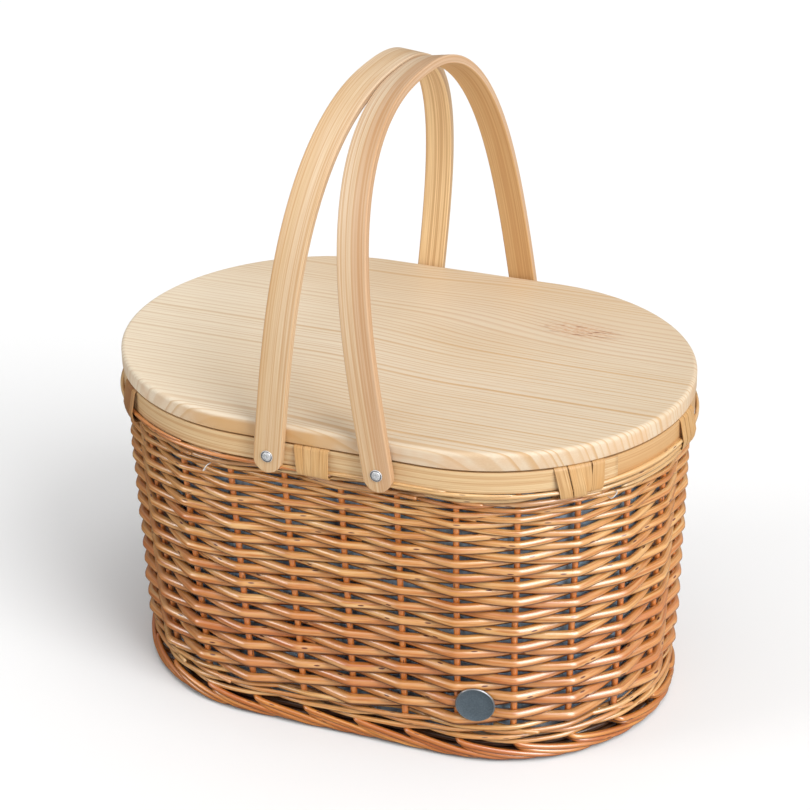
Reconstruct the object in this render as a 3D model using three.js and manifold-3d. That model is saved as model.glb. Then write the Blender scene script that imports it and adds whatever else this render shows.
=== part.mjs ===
// Oval willow picnic basket with an insulated liner, a lift-off pine lid and two folding bentwood handles.
// Millimetres, +Z up. The origin is the middle of the footprint, +X runs along the length and -Y is the front.
import * as THREE from 'three';
import { mergeVertices } from 'three/addons/utils/BufferGeometryUtils.js';
import Module from 'manifold-3d';

// Lid
const LID_LENGTH = 450;
const LID_DEPTH = 307;
const LID_THICKNESS = 14;
const LID_EDGE_RADIUS = 5;
const LID_ARRIS = 1;
const LID_OVERHANG = 0.6;
const BATTEN_WIDTH = 26;
const BATTEN_THICKNESS = 10;
const BATTEN_SPACING = 190;
const BATTEN_END_BEVEL = 6;
const BATTEN_CLEARANCE = 2.5;

// Rim: an outer and an inner hoop that clamp the stakes, lashed together with cane
const RIM_HEIGHT = 256;
const HOOP_HEIGHT = 17;
const HOOP_THICKNESS = 4;
const LAP_LENGTH = 60;
const LAP_TIP = 0.8;
const OUTER_LAP_SHARE = 0.165;
const INNER_LAP_SHARE = 0.7;
const CANE_THICKNESS = 0.9;
const CANE_STRIP_WIDTH = 6.2;
const CANE_CLEARANCE = 0.8;
const CANE_BANDS = [
  { place: -4.37, strips: 3 },
  { place: -0.37, strips: 4 },
  { place: 3.72, strips: 3 },
  { place: 4.28, strips: 3 },
  { place: 6.45, strips: 3 },
  { place: 13.5, strips: 4 },
  { place: 17.5, strips: 3 },
];

// Willow wall
const STAKE_COUNT = 27;
const STAKE_DIAMETER = 4.4;
const STAKE_CLEARANCE = 0.6;
const STAKE_START = 7;
const WEAVE_ROWS = 33;
const WEAVE_TAPER = 0.72;
const LOWER_WALE_ROWS = 3;
const LOWER_WALE_PITCH = 4;
const UPPER_WALE_ROWS = 3;
const UPPER_WALE_PITCH = 3.3;
const ROW_GAP = 0.4;

// Foot: the rolled border of stake ends, and the panel that it carries
const FOOT_LENGTH = 434;
const FOOT_DEPTH = 274;
const BORDER_HEIGHT = 16;
const BORDER_LAYERS = 3;
const BORDER_OUTSIDE = 8.5;
const BORDER_GROOVE = 2.2;
const LEDGE_HEIGHT = 12;
const LEDGE_OUTSIDE = 6.2;
const LEDGE_WIDTH = 6;
const PANEL_THICKNESS = 4.5;
const PANEL_CLEARANCE = 0.8;

// Insulated liner bag
const LINER_INSET = 11;
const LINER_THICKNESS = 4;

// Handles and their pivots
const HANDLE_WIDTH = 22;
const HANDLE_THICKNESS = 6.5;
const HANDLE_REACH = 247.5;
const HANDLE_END_DROP = 2.5;
const HANDLE_LID_CLEARANCE = 2.2;
const HANDLE_TIP_GAP = 0.5;
const HANDLE_MEETING_X = -4.5;
const ARCH_SIDE_POWER = 2.36;
const ARCH_TOP_POWER = 3.17;
const PIVOT_BELOW_RIM = 9;
const PIVOT_BESIDE_STAKE = 5;
const SHANK_DIAMETER = 4;
const HEAD_DIAMETER = 9;
const HEAD_HEIGHT = 1.8;
const NUT_DIAMETER = 8;
const NUT_THICKNESS = 2.6;
const WASHER_DIAMETER = 10;

// Bare disc on the wall
const DISC_DIAMETER = 30;
const DISC_THICKNESS = 1.8;
const DISC_RIM = 1.2;
const DISC_DISH = 0.4;
const DISC_HEIGHT = 53.5;
const DISC_STAKE = 2;
const DISC_BESIDE_STAKE = 15.5;
const DISC_SINK = 1.6;

// Fits and facets
const GAP = 0.3;
const BEND_STEPS = 18;
const ARCH_STEPS = 28;
const ROUND_SIDES = 12;
const STAKE_SIDES = 6;
const LAP_STEPS = 4;

const wasm = await Module();
wasm.setup();

// Sizes worked out from the dimensions above
const lidRadius = LID_DEPTH / 2;
const lidStraight = (LID_LENGTH - LID_DEPTH) / 2;
const hoopTop = RIM_HEIGHT - CANE_THICKNESS - 2 * GAP;
const hoopBottom = hoopTop - HOOP_HEIGHT;
const outerHoopOutside = lidRadius - LID_OVERHANG;
const outerHoopInside = outerHoopOutside - HOOP_THICKNESS;
const rimRadius = outerHoopInside - STAKE_CLEARANCE - STAKE_DIAMETER / 2;
const innerHoopOutside = rimRadius - STAKE_DIAMETER / 2 - STAKE_CLEARANCE;
const innerHoopInside = innerHoopOutside - HOOP_THICKNESS;
const footRadius = FOOT_DEPTH / 2 - BORDER_OUTSIDE;
const footStraight = (FOOT_LENGTH - FOOT_DEPTH) / 2;
const panelBottom = LEDGE_HEIGHT + GAP;
const panelTop = panelBottom + PANEL_THICKNESS;
const lowerWaleTop = BORDER_HEIGHT + LOWER_WALE_ROWS * LOWER_WALE_PITCH + ROW_GAP;
const upperWaleTop = hoopBottom - CANE_THICKNESS - 2 * GAP;
const upperWaleBottom = upperWaleTop - UPPER_WALE_ROWS * UPPER_WALE_PITCH;
const rimLength = trackLength(lidStraight, rimRadius);
const stakeSpacing = rimLength / STAKE_COUNT;
const pivotX = stakeSpacing - STAKE_START + PIVOT_BESIDE_STAKE;
const pivotZ = RIM_HEIGHT - PIVOT_BELOW_RIM;
const handleInside = lidRadius + HANDLE_LID_CLEARANCE;
const handleOutside = handleInside + HANDLE_THICKNESS;

const basket = new THREE.Group();

function material(color, roughness, metalness = 0) {
  return new THREE.MeshStandardMaterial({ color, roughness, metalness });
}

const willow = () => material(0xc98f57, 0.45);
const stakeWillow = () => material(0xc4743a, 0.5);
const pine = () => material(0xead2a6, 0.5);
const bentwood = () => material(0xe0bd86, 0.5);
const cane = () => material(0xd9ae74, 0.55);
const foil = () => material(0x6f8290, 0.4, 0.3);
const steel = () => material(0xc8cacc, 0.25, 1);
const slate = () => material(0x4d5c6b, 0.35, 0.6);

function addPart(name, geometry, finish, parent = basket) {
  const part = new THREE.Mesh(geometry, finish);
  part.name = name;
  parent.add(part);
  return part;
}

// Oval track outlines: two straight sides of 2 x straight, joined by half circles of the given radius
function trackLength(straight, radius) {
  return 4 * straight + 2 * Math.PI * radius;
}

// The spot at a distance along the track, from the front middle towards +X, with its outward direction
function trackSpot(straight, radius, distance) {
  const bend = Math.PI * radius;
  const total = trackLength(straight, radius);
  let rest = ((distance % total) + total) % total;
  if (rest < straight) return { x: rest, y: -radius, turn: -Math.PI / 2 };
  rest -= straight;
  if (rest < bend) return bendSpot(straight, radius, -Math.PI / 2 + rest / radius);
  rest -= bend;
  if (rest < 2 * straight) return { x: straight - rest, y: radius, turn: Math.PI / 2 };
  rest -= 2 * straight;
  if (rest < bend) return bendSpot(-straight, radius, Math.PI / 2 + rest / radius);
  rest -= bend;
  return { x: rest - straight, y: -radius, turn: -Math.PI / 2 };
}

function bendSpot(centre, radius, turn) {
  return { x: centre + radius * Math.cos(turn), y: radius * Math.sin(turn), turn };
}

function trackRing(straight, radius, z) {
  const ring = [];
  for (const [centre, start] of [[straight, -Math.PI / 2], [-straight, Math.PI / 2]]) {
    for (let step = 0; step <= BEND_STEPS; step++) {
      const spot = bendSpot(centre, radius, start + Math.PI * step / BEND_STEPS);
      ring.push(new THREE.Vector3(spot.x, spot.y, z));
    }
  }
  return ring;
}

// The wall leans out in a straight line from the foot to the underside of the hoops, then stands upright
function wallTrack(z) {
  const share = THREE.MathUtils.clamp(z / hoopBottom, 0, 1);
  return {
    straight: THREE.MathUtils.lerp(footStraight, lidStraight, share),
    radius: THREE.MathUtils.lerp(footRadius, rimRadius, share),
  };
}

// A place on the wall at a share of its way round, moved outwards by an offset
function wallPlace(share, z, offset = 0) {
  const { straight, radius } = wallTrack(z);
  const spot = trackSpot(straight, radius, share * trackLength(straight, radius));
  const out = new THREE.Vector3(Math.cos(spot.turn), Math.sin(spot.turn), 0);
  const point = new THREE.Vector3(spot.x, spot.y, z).addScaledVector(out, offset);
  return { point, out };
}

function stakeShare(index) {
  return (STAKE_START + index * stakeSpacing) / rimLength;
}

// Closed skins: rings of equal length are joined in order, and the ends are capped or meet
function loft(rings, meets = false) {
  const size = rings[0].length;
  const positions = rings.flat().flatMap((point) => [point.x, point.y, point.z]);
  const triangles = [];
  const bands = meets ? rings.length : rings.length - 1;
  for (let band = 0; band < bands; band++) {
    const here = band * size;
    const there = ((band + 1) % rings.length) * size;
    for (let side = 0; side < size; side++) {
      const next = (side + 1) % size;
      triangles.push(here + side, there + side, here + next);
      triangles.push(here + next, there + side, there + next);
    }
  }
  if (!meets) {
    const last = (rings.length - 1) * size;
    for (let side = 1; side < size - 1; side++) {
      triangles.push(0, side, side + 1);
      triangles.push(last, last + side + 1, last + side);
    }
  }
  const geometry = new THREE.BufferGeometry();
  geometry.setAttribute('position', new THREE.Float32BufferAttribute(positions, 3));
  geometry.setIndex(signedVolume(positions, triangles) < 0 ? triangles.reverse() : triangles);
  geometry.computeVertexNormals();
  return geometry;
}

function signedVolume(positions, triangles) {
  const corner = (index) => new THREE.Vector3().fromArray(positions, 3 * index);
  let volume = 0;
  for (let at = 0; at < triangles.length; at += 3) {
    const [a, b, c] = [corner(triangles[at]), corner(triangles[at + 1]), corner(triangles[at + 2])];
    volume += a.dot(b.cross(c)) / 6;
  }
  return volume;
}

// Joins and cuts
function solid(geometry) {
  const bare = geometry.clone();
  bare.deleteAttribute('normal');
  bare.deleteAttribute('uv');
  const merged = mergeVertices(bare, 1e-4);
  const vertProperties = new Float32Array(merged.attributes.position.array);
  const triVerts = new Uint32Array(merged.index.array);
  return new wasm.Manifold(new wasm.Mesh({ numProp: 3, vertProperties, triVerts }));
}

function skin(body) {
  const { vertProperties, triVerts } = body.getMesh();
  const geometry = new THREE.BufferGeometry();
  geometry.setAttribute('position', new THREE.BufferAttribute(new Float32Array(vertProperties), 3));
  geometry.setIndex(new THREE.BufferAttribute(new Uint32Array(triVerts), 1));
  geometry.computeVertexNormals();
  return geometry;
}

function cylinderAlongY(radius, length, x, y, z) {
  return new THREE.CylinderGeometry(radius, radius, length, ROUND_SIDES).translate(x, y, z);
}

// Upright stakes, from the top of the foot border to between the hoops
function stakeGeometry(share) {
  const heights = [BORDER_HEIGHT + GAP, hoopBottom, hoopTop - GAP];
  const rings = heights.map((z) => {
    const { point } = wallPlace(share, z);
    return Array.from({ length: STAKE_SIDES }, (_, side) => {
      const angle = 2 * Math.PI * side / STAKE_SIDES;
      const reach = STAKE_DIAMETER / 2;
      return new THREE.Vector3(point.x + reach * Math.cos(angle), point.y + reach * Math.sin(angle), z);
    });
  });
  return loft(rings);
}

// A single rod that climbs round the wall and bends at each stake, on the side that the pattern gives.
// The rows close up towards the top by the taper, and each rod is as thick as its row allows.
function wovenRod({ rows, bottom, top, taper, isOutside }) {
  const turns = rows - 1;
  const firstPitch = 2 * (top - bottom) / (rows * (1 + taper));
  const rings = [];
  for (let crossing = 0; crossing <= turns * STAKE_COUNT; crossing++) {
    const turn = crossing / STAKE_COUNT;
    const pitch = firstPitch * (1 + (taper - 1) * turn / turns);
    const climb = firstPitch * (turn + (taper - 1) * turn * turn / (2 * turns));
    const reach = (pitch - ROW_GAP) / 2;
    const offset = STAKE_DIAMETER / 2 + GAP + reach;
    const z = bottom + firstPitch / 2 + climb;
    const { point, out } = wallPlace(stakeShare(crossing), z, isOutside(crossing) ? offset : -offset);
    const outward = out.multiplyScalar(reach);
    const upward = new THREE.Vector3(0, 0, reach);
    rings.push([
      point.clone().add(outward),
      point.clone().add(upward),
      point.clone().sub(outward),
      point.clone().sub(upward),
    ]);
  }
  return loft(rings);
}

// Plain weave goes in front of one stake and behind the next; the odd stake count alternates the rows
const plainWeave = (crossing) => crossing % 2 === 0;

// A wale goes in front of two stakes and behind one, and steps on by one stake each row
const waleWeave = (crossing) => (crossing + Math.floor(crossing / STAKE_COUNT)) % 3 !== 2;

// Foot border: the stake ends lie as slanting rods, each sinking one layer for every stake it passes.
// Its outside has three levels to a rod, two on the rod and one in the groove, and three steps to a stake.
function borderGeometry() {
  const levels = 3 * BORDER_LAYERS;
  const steps = 3 * STAKE_COUNT;
  const rings = [];
  for (let step = 0; step < steps; step++) {
    const share = stakeShare(step / 3);
    const corner = (offset, z) => wallPlace(share, 0, offset).point.setZ(z);
    const ring = [];
    for (let level = 0; level <= levels; level++) {
      const inGroove = (level + step) % 3 === 0;
      ring.push(corner(BORDER_OUTSIDE - (inGroove ? BORDER_GROOVE : 0), BORDER_HEIGHT * level / levels));
    }
    ring.push(corner(-LEDGE_OUTSIDE, BORDER_HEIGHT));
    ring.push(corner(-LEDGE_OUTSIDE, LEDGE_HEIGHT));
    ring.push(corner(-LEDGE_OUTSIDE - LEDGE_WIDTH, LEDGE_HEIGHT));
    ring.push(corner(-LEDGE_OUTSIDE - LEDGE_WIDTH, 0));
    rings.push(ring);
  }
  return loft(rings, true);
}

function panelGeometry() {
  const radius = footRadius - LEDGE_OUTSIDE - PANEL_CLEARANCE;
  return loft([trackRing(footStraight, radius, panelBottom), trackRing(footStraight, radius, panelTop)]);
}

// Open-topped bag that follows the wall and stands on the panel
function linerGeometry() {
  const ring = (z, inset, height) => {
    const { straight, radius } = wallTrack(z);
    return trackRing(straight, radius - inset, height);
  };
  const floor = panelTop + GAP;
  const inside = LINER_INSET + LINER_THICKNESS;
  return loft([
    ring(floor, LINER_INSET, floor),
    ring(hoopBottom, LINER_INSET, hoopBottom),
    ring(hoopTop, LINER_INSET, hoopTop),
    ring(hoopTop, inside, hoopTop),
    ring(hoopBottom, inside, hoopBottom),
    ring(floor, inside, floor + LINER_THICKNESS),
  ]);
}

// A bent strip whose two ends taper and lap over each other, bored for the handle screws
function hoopGeometry(outside, lapShare) {
  const length = trackLength(lidStraight, outside);
  const lapStart = lapShare * length;
  const wedge = HOOP_THICKNESS - 2 * LAP_TIP - GAP;
  const stations = [];
  for (let step = 0; step <= LAP_STEPS; step++) {
    const way = step / LAP_STEPS;
    stations.push({ at: lapStart + way * LAP_LENGTH, inner: 0, outer: LAP_TIP + wedge * way });
  }
  const bodyStart = lapStart + LAP_LENGTH + GAP;
  const bodyLength = length - LAP_LENGTH - 2 * GAP;
  const bodySteps = 3 * BEND_STEPS;
  for (let step = 0; step <= bodySteps; step++) {
    stations.push({ at: bodyStart + bodyLength * step / bodySteps, inner: 0, outer: HOOP_THICKNESS });
  }
  for (let step = 0; step <= LAP_STEPS; step++) {
    const way = step / LAP_STEPS;
    const inner = LAP_TIP + GAP + wedge * way;
    stations.push({ at: lapStart + length + way * LAP_LENGTH, inner, outer: HOOP_THICKNESS });
  }
  const rings = stations.map(({ at, inner, outer }) => {
    const spot = trackSpot(lidStraight, outside, at);
    const corner = (depth, z) => new THREE.Vector3(
      spot.x - depth * Math.cos(spot.turn),
      spot.y - depth * Math.sin(spot.turn),
      z,
    );
    const face = HOOP_THICKNESS - outer;
    const back = HOOP_THICKNESS - inner;
    return [corner(face, hoopBottom), corner(back, hoopBottom), corner(back, hoopTop), corner(face, hoopTop)];
  });
  let body = solid(loft(rings));
  for (const side of [-1, 1]) {
    const bore = cylinderAlongY(SHANK_DIAMETER / 2 + GAP, LID_DEPTH, side * pivotX, 0, pivotZ);
    body = body.subtract(solid(bore));
  }
  return skin(body);
}

// A band of flat cane strips round both hoops; its place counts stakes, and lies between two of them
function addBinding(name, { place, strips }) {
  const width = strips * CANE_STRIP_WIDTH;
  const inside = innerHoopInside - CANE_CLEARANCE - rimRadius;
  const outside = outerHoopOutside + CANE_CLEARANCE - rimRadius;
  const frame = (grow) => [
    new THREE.Vector2(inside - grow, hoopBottom - GAP - grow),
    new THREE.Vector2(outside + grow, hoopBottom - GAP - grow),
    new THREE.Vector2(outside + grow, hoopTop + GAP + grow),
    new THREE.Vector2(inside - grow, hoopTop + GAP + grow),
  ];
  const shape = new THREE.Shape(frame(CANE_THICKNESS));
  shape.holes.push(new THREE.Path(frame(0)));
  const geometry = new THREE.ExtrudeGeometry(shape, { depth: width, bevelEnabled: false });
  geometry.translate(0, 0, -width / 2);
  const { point, out } = wallPlace(stakeShare(place), hoopTop);
  const up = new THREE.Vector3(0, 0, 1);
  const binding = addPart(name, geometry, cane());
  binding.quaternion.setFromRotationMatrix(new THREE.Matrix4().makeBasis(out, up, out.clone().cross(up)));
  binding.position.set(point.x, point.y, 0);
}

// Lid board with an eased lower edge and a rounded upper edge
function lidGeometry() {
  const top = RIM_HEIGHT + LID_THICKNESS;
  const rings = [
    trackRing(lidStraight, lidRadius - LID_ARRIS, RIM_HEIGHT),
    trackRing(lidStraight, lidRadius, RIM_HEIGHT + LID_ARRIS),
  ];
  for (const angle of [0, Math.PI / 6, Math.PI / 3, Math.PI / 2]) {
    const inset = LID_EDGE_RADIUS * (1 - Math.cos(angle));
    const z = top - LID_EDGE_RADIUS * (1 - Math.sin(angle));
    rings.push(trackRing(lidStraight, lidRadius - inset, z));
  }
  return loft(rings);
}

// A batten across the grain under the lid, which drops inside the liner and keeps the lid in place
function battenGeometry(x) {
  const reach = Math.max(0, Math.abs(x) + BATTEN_WIDTH / 2 - lidStraight);
  const inside = rimRadius - LINER_INSET - LINER_THICKNESS - BATTEN_CLEARANCE;
  const half = Math.sqrt(inside * inside - reach * reach);
  const top = RIM_HEIGHT - GAP;
  const shape = new THREE.Shape([
    new THREE.Vector2(-half, top),
    new THREE.Vector2(-half + BATTEN_END_BEVEL, top - BATTEN_THICKNESS),
    new THREE.Vector2(half - BATTEN_END_BEVEL, top - BATTEN_THICKNESS),
    new THREE.Vector2(half, top),
  ]);
  const geometry = new THREE.ExtrudeGeometry(shape, { depth: BATTEN_WIDTH, bevelEnabled: false });
  geometry.translate(0, 0, -BATTEN_WIDTH / 2);
  return geometry.applyMatrix4(acrossFrame()).translate(x, 0, 0);
}

// Turns a profile drawn in depth and height so that it is extruded along the length
function acrossFrame() {
  return new THREE.Matrix4().makeBasis(
    new THREE.Vector3(0, 1, 0),
    new THREE.Vector3(0, 0, 1),
    new THREE.Vector3(1, 0, 0),
  );
}

// Bentwood handle about its pivot line: an arch of even thickness with bored ends, round below the bores
function archOutside(angle) {
  const across = Math.cos(angle);
  const up = Math.sin(angle);
  return new THREE.Vector2(
    -Math.sign(across) * handleOutside * Math.abs(across) ** (2 / ARCH_SIDE_POWER),
    HANDLE_REACH * Math.abs(up) ** (2 / ARCH_TOP_POWER),
  );
}

function handleGeometry() {
  const outer = [];
  for (let step = 0; step <= ARCH_STEPS; step++) {
    outer.push(archOutside(Math.PI * step / ARCH_STEPS));
  }
  const inner = outer.map((point, at) => {
    const before = outer[at - 1] ?? new THREE.Vector2(point.x, point.y - 1);
    const after = outer[at + 1] ?? new THREE.Vector2(point.x, point.y - 1);
    const ahead = after.clone().sub(point).normalize().add(point.clone().sub(before).normalize()).normalize();
    return new THREE.Vector2(point.x + ahead.y * HANDLE_THICKNESS, point.y - ahead.x * HANDLE_THICKNESS);
  });
  const ends = [0, ARCH_STEPS];
  for (const at of ends) {
    inner[at].set(Math.sign(outer[at].x) * handleInside, 0);
  }
  const across = [-handleOutside, handleOutside, handleInside, -handleInside];
  const [outerStart, outerEnd, innerEnd, innerStart] = across.map((y) => new THREE.Vector2(y, -HANDLE_END_DROP));
  const shape = new THREE.Shape([outerStart, ...outer, outerEnd, innerEnd, ...inner.reverse(), innerStart]);
  const arch = new THREE.ExtrudeGeometry(shape, { depth: HANDLE_WIDTH, bevelEnabled: false });
  arch.translate(0, 0, -HANDLE_WIDTH / 2);
  let body = solid(arch.applyMatrix4(acrossFrame()));
  for (const side of [-1, 1]) {
    const y = side * (handleInside + HANDLE_THICKNESS / 2);
    body = body.add(solid(cylinderAlongY(HANDLE_WIDTH / 2, HANDLE_THICKNESS, 0, y, -HANDLE_END_DROP)));
  }
  body = body.subtract(solid(cylinderAlongY(SHANK_DIAMETER / 2 + GAP, 3 * handleOutside, 0, 0, 0)));
  return skin(body);
}

// At rest the handles lean in until the edges of their tops all but touch, a little to the left of the middle
function handleLean(side) {
  const arm = Math.hypot(HANDLE_REACH, HANDLE_WIDTH / 2);
  const span = pivotX - side * HANDLE_MEETING_X - HANDLE_TIP_GAP / 2;
  return Math.asin(span / arm) - Math.atan2(HANDLE_WIDTH / 2, HANDLE_REACH);
}

function addHandle(name, side) {
  const pivot = new THREE.Group();
  pivot.position.set(side * pivotX, 0, pivotZ);
  pivot.rotation.y = -side * handleLean(side);
  basket.add(pivot);
  addPart(name, handleGeometry(), bentwood(), pivot);
}

// Round-headed screw through the handle, its washer and both hoops, with a thin nut inside
function screwProfile() {
  const tail = innerHoopInside - GAP - NUT_THICKNESS;
  const seat = handleOutside + GAP;
  const shank = SHANK_DIAMETER / 2;
  const head = HEAD_DIAMETER / 2;
  const crown = seat + HEAD_HEIGHT;
  return [
    [0, tail],
    [shank, tail],
    [shank, seat],
    [head, seat],
    [head, seat + HEAD_HEIGHT / 2],
    [head * 0.7, crown - HEAD_HEIGHT / 8],
    [0, crown],
  ].map(([radius, along]) => new THREE.Vector2(radius, along));
}

// Rings on the screw: the nut behind the inner hoop, and the washer that spaces the handle off the outer one
function ringProfile(inside, outside, diameter) {
  const bore = SHANK_DIAMETER / 2 + GAP;
  const reach = diameter / 2;
  return [
    [bore, inside],
    [reach, inside],
    [reach, outside],
    [bore, outside],
    [bore, inside],
  ].map(([radius, along]) => new THREE.Vector2(radius, along));
}

function nutProfile() {
  const outside = innerHoopInside - GAP;
  return ringProfile(outside - NUT_THICKNESS, outside, NUT_DIAMETER);
}

function washerProfile() {
  return ringProfile(outerHoopOutside + GAP, handleInside - GAP, WASHER_DIAMETER);
}

function addPivot(place, xSide, ySide) {
  const frame = new THREE.Group();
  frame.position.set(xSide * pivotX, 0, pivotZ);
  frame.rotation.x = ySide < 0 ? Math.PI : 0;
  basket.add(frame);
  const addTurned = (name, profile) => {
    addPart(`${name}_${place}`, new THREE.LatheGeometry(profile, ROUND_SIDES), steel(), frame);
  };
  addTurned('pivot_screw', screwProfile());
  addTurned('pivot_nut', nutProfile());
  addTurned('pivot_washer', washerProfile());
}

// Bare metal disc with a raised rim, set against the front of the weave
function addDisc() {
  const reach = DISC_DIAMETER / 2;
  const profile = [
    [0, 0],
    [reach, 0],
    [reach, DISC_THICKNESS],
    [reach - DISC_RIM, DISC_THICKNESS],
    [reach - DISC_RIM, DISC_THICKNESS - DISC_DISH],
    [0, DISC_THICKNESS - DISC_DISH],
  ].map(([radius, along]) => new THREE.Vector2(radius, along));
  const firstPitch = 2 * (upperWaleBottom - lowerWaleTop) / (WEAVE_ROWS * (1 + WEAVE_TAPER));
  const weaveOutside = STAKE_DIAMETER / 2 + GAP + firstPitch - ROW_GAP;
  const share = stakeShare(DISC_STAKE) + DISC_BESIDE_STAKE / rimLength;
  const { point, out } = wallPlace(share, DISC_HEIGHT, weaveOutside + GAP - DISC_SINK);
  const disc = addPart('badge_disc', new THREE.LatheGeometry(profile, 2 * ROUND_SIDES), slate());
  const slope = Math.atan2(rimRadius - footRadius, hoopBottom);
  const normal = out.clone().multiplyScalar(Math.cos(slope)).setZ(-Math.sin(slope));
  disc.quaternion.setFromUnitVectors(new THREE.Vector3(0, 1, 0), normal);
  disc.position.copy(point);
}

for (let index = 0; index < STAKE_COUNT; index++) {
  const number = String(index + 1).padStart(2, '0');
  addPart(`stake_${number}`, stakeGeometry(stakeShare(index)), stakeWillow());
}
addPart('lower_wale', wovenRod({
  rows: LOWER_WALE_ROWS,
  bottom: BORDER_HEIGHT + ROW_GAP,
  top: lowerWaleTop,
  taper: 1,
  isOutside: waleWeave,
}), willow());
addPart('wall_weave', wovenRod({
  rows: WEAVE_ROWS,
  bottom: lowerWaleTop,
  top: upperWaleBottom,
  taper: WEAVE_TAPER,
  isOutside: plainWeave,
}), willow());
addPart('upper_wale', wovenRod({
  rows: UPPER_WALE_ROWS,
  bottom: upperWaleBottom,
  top: upperWaleTop,
  taper: 1,
  isOutside: waleWeave,
}), willow());
addPart('foot_border', borderGeometry(), willow());
addPart('base_panel', panelGeometry(), pine());
addPart('liner_bag', linerGeometry(), foil());
addPart('outer_hoop', hoopGeometry(outerHoopOutside, OUTER_LAP_SHARE), bentwood());
addPart('inner_hoop', hoopGeometry(innerHoopOutside, INNER_LAP_SHARE), bentwood());
CANE_BANDS.forEach((band, at) => addBinding(`cane_binding_${at + 1}`, band));
addPart('lid_board', lidGeometry(), pine());
addPart('lid_batten_left', battenGeometry(-BATTEN_SPACING / 2), pine());
addPart('lid_batten_right', battenGeometry(BATTEN_SPACING / 2), pine());
addHandle('handle_left', -1);
addHandle('handle_right', 1);
addPivot('front_left', -1, -1);
addPivot('front_right', 1, -1);
addPivot('back_left', -1, 1);
addPivot('back_right', 1, 1);
addDisc();

export default basket;
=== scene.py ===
"""Looks of an oval willow picnic basket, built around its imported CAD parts.

Metres, in the frame of the CAD: +Z up, -Y to the front, the origin in the middle of the foot.
The willow is woven here rod by rod, and the wooden parts get rounded edges and grain that follows the wood.
"""

import math

import bpy
import numpy as np
from mathutils import Matrix, Vector


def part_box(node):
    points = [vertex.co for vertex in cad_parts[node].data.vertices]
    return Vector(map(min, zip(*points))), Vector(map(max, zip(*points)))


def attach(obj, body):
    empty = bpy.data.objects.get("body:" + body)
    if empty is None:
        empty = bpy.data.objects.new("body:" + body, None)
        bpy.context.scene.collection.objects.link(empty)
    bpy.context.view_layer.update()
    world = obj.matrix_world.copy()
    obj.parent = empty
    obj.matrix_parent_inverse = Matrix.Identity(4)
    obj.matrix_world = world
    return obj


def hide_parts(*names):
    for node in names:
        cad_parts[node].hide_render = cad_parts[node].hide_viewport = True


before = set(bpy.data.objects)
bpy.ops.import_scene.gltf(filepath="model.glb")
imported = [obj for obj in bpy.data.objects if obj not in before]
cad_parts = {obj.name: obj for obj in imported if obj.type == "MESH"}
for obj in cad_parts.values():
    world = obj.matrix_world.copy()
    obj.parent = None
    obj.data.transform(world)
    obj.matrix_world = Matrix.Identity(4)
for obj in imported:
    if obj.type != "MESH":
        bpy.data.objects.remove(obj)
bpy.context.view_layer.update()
random = np.random.default_rng(27)

MM = 0.001
RIGHT, BACK, DOWN = np.diag([1.0, 1.0, -1.0])

# Sizes that the frame gives
lid_low, lid_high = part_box("lid_board")
LID_RADIUS = lid_high.y
RIM_STRAIGHT = lid_high.x - LID_RADIUS
hoop_low, hoop_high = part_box("outer_hoop")
HOOP_BOTTOM, HOOP_TOP = hoop_low.z, hoop_high.z
OUTER_HOOP_RADIUS = hoop_high.y
INNER_HOOP_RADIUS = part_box("inner_hoop")[1].y
screw_low, screw_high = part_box("pivot_screw_front_right")
PIVOT_X = (screw_low.x + screw_high.x) / 2
PIVOT_Z = (screw_low.z + screw_high.z) / 2
HANDLE_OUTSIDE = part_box("handle_right")[1].y
panel_low, panel_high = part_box("base_panel")

# Sizes that repeat the CAD source
HOOP_THICKNESS = 4 * MM
LAP_LENGTH = 60 * MM
LAP_TIP = 0.8 * MM
INNER_LAP_SHARE = 0.7
CANE_THICKNESS = 0.9 * MM
STAKE_COUNT = 27
STAKE_RADIUS = 2.2 * MM
STAKE_START = 7 * MM
ROW_GAP = 0.4 * MM
FOOT_RADIUS = 128.5 * MM
FOOT_STRAIGHT = 80 * MM
UPPER_WALE = (226.1 * MM, 236 * MM)
LINER_INSET = 11 * MM
LINER_THICKNESS = 4 * MM
HANDLE_WIDTH = 22 * MM
HANDLE_THICKNESS = 6.5 * MM
HANDLE_REACH = 247.5 * MM
HANDLE_END_DROP = 2.5 * MM
HANDLE_MEETING_X = -4.5 * MM
HANDLE_TIP_GAP = 0.5 * MM
ARCH_SIDE_POWER = 2.36
ARCH_TOP_POWER = 3.17
DISC_RADIUS = 15 * MM
DISC_THICKNESS = 1.8 * MM
DISC_HEIGHT = 53.5 * MM
DISC_STAKE = 2
DISC_BESIDE_STAKE = 15.5 * MM
# From the middle of the wall out to the back of the disc
DISC_OFFSET = 7.77 * MM
FIT_GAP = 0.3 * MM

# Places and counts that differ a little from those of the solids, to come closer to the photo
OUTER_LAP_SHARE = 0.128
WEAVE_ROWS = 31
LOWER_WALE = (16.4 * MM, 31.2 * MM)
# Cane bindings: the place counted in stakes, the number of strips, the width of one and how far it hangs
# below the hoops in millimetres, and how much the first and the last strip lean ahead as they go down
BINDINGS = [
    (-4.37, 4, 6.2, 8, 0.1, 0),
    (-0.41, 4, 6.9, 5, 0.16, 0.02),
    (3.73, 2, 10.2, 7, 0.19, 0.17),
    (4.13, 2, 10.6, 5, 0.02, -0.14),
    (6.45, 4, 6.2, 8, 0, -0.1),
    (13.5, 4, 6.2, 5, 0.1, 0),
    (17.5, 3, 6.2, 5, 0.1, 0),
]
PALE_BINDINGS = (2, 3, 4, 5)

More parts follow.
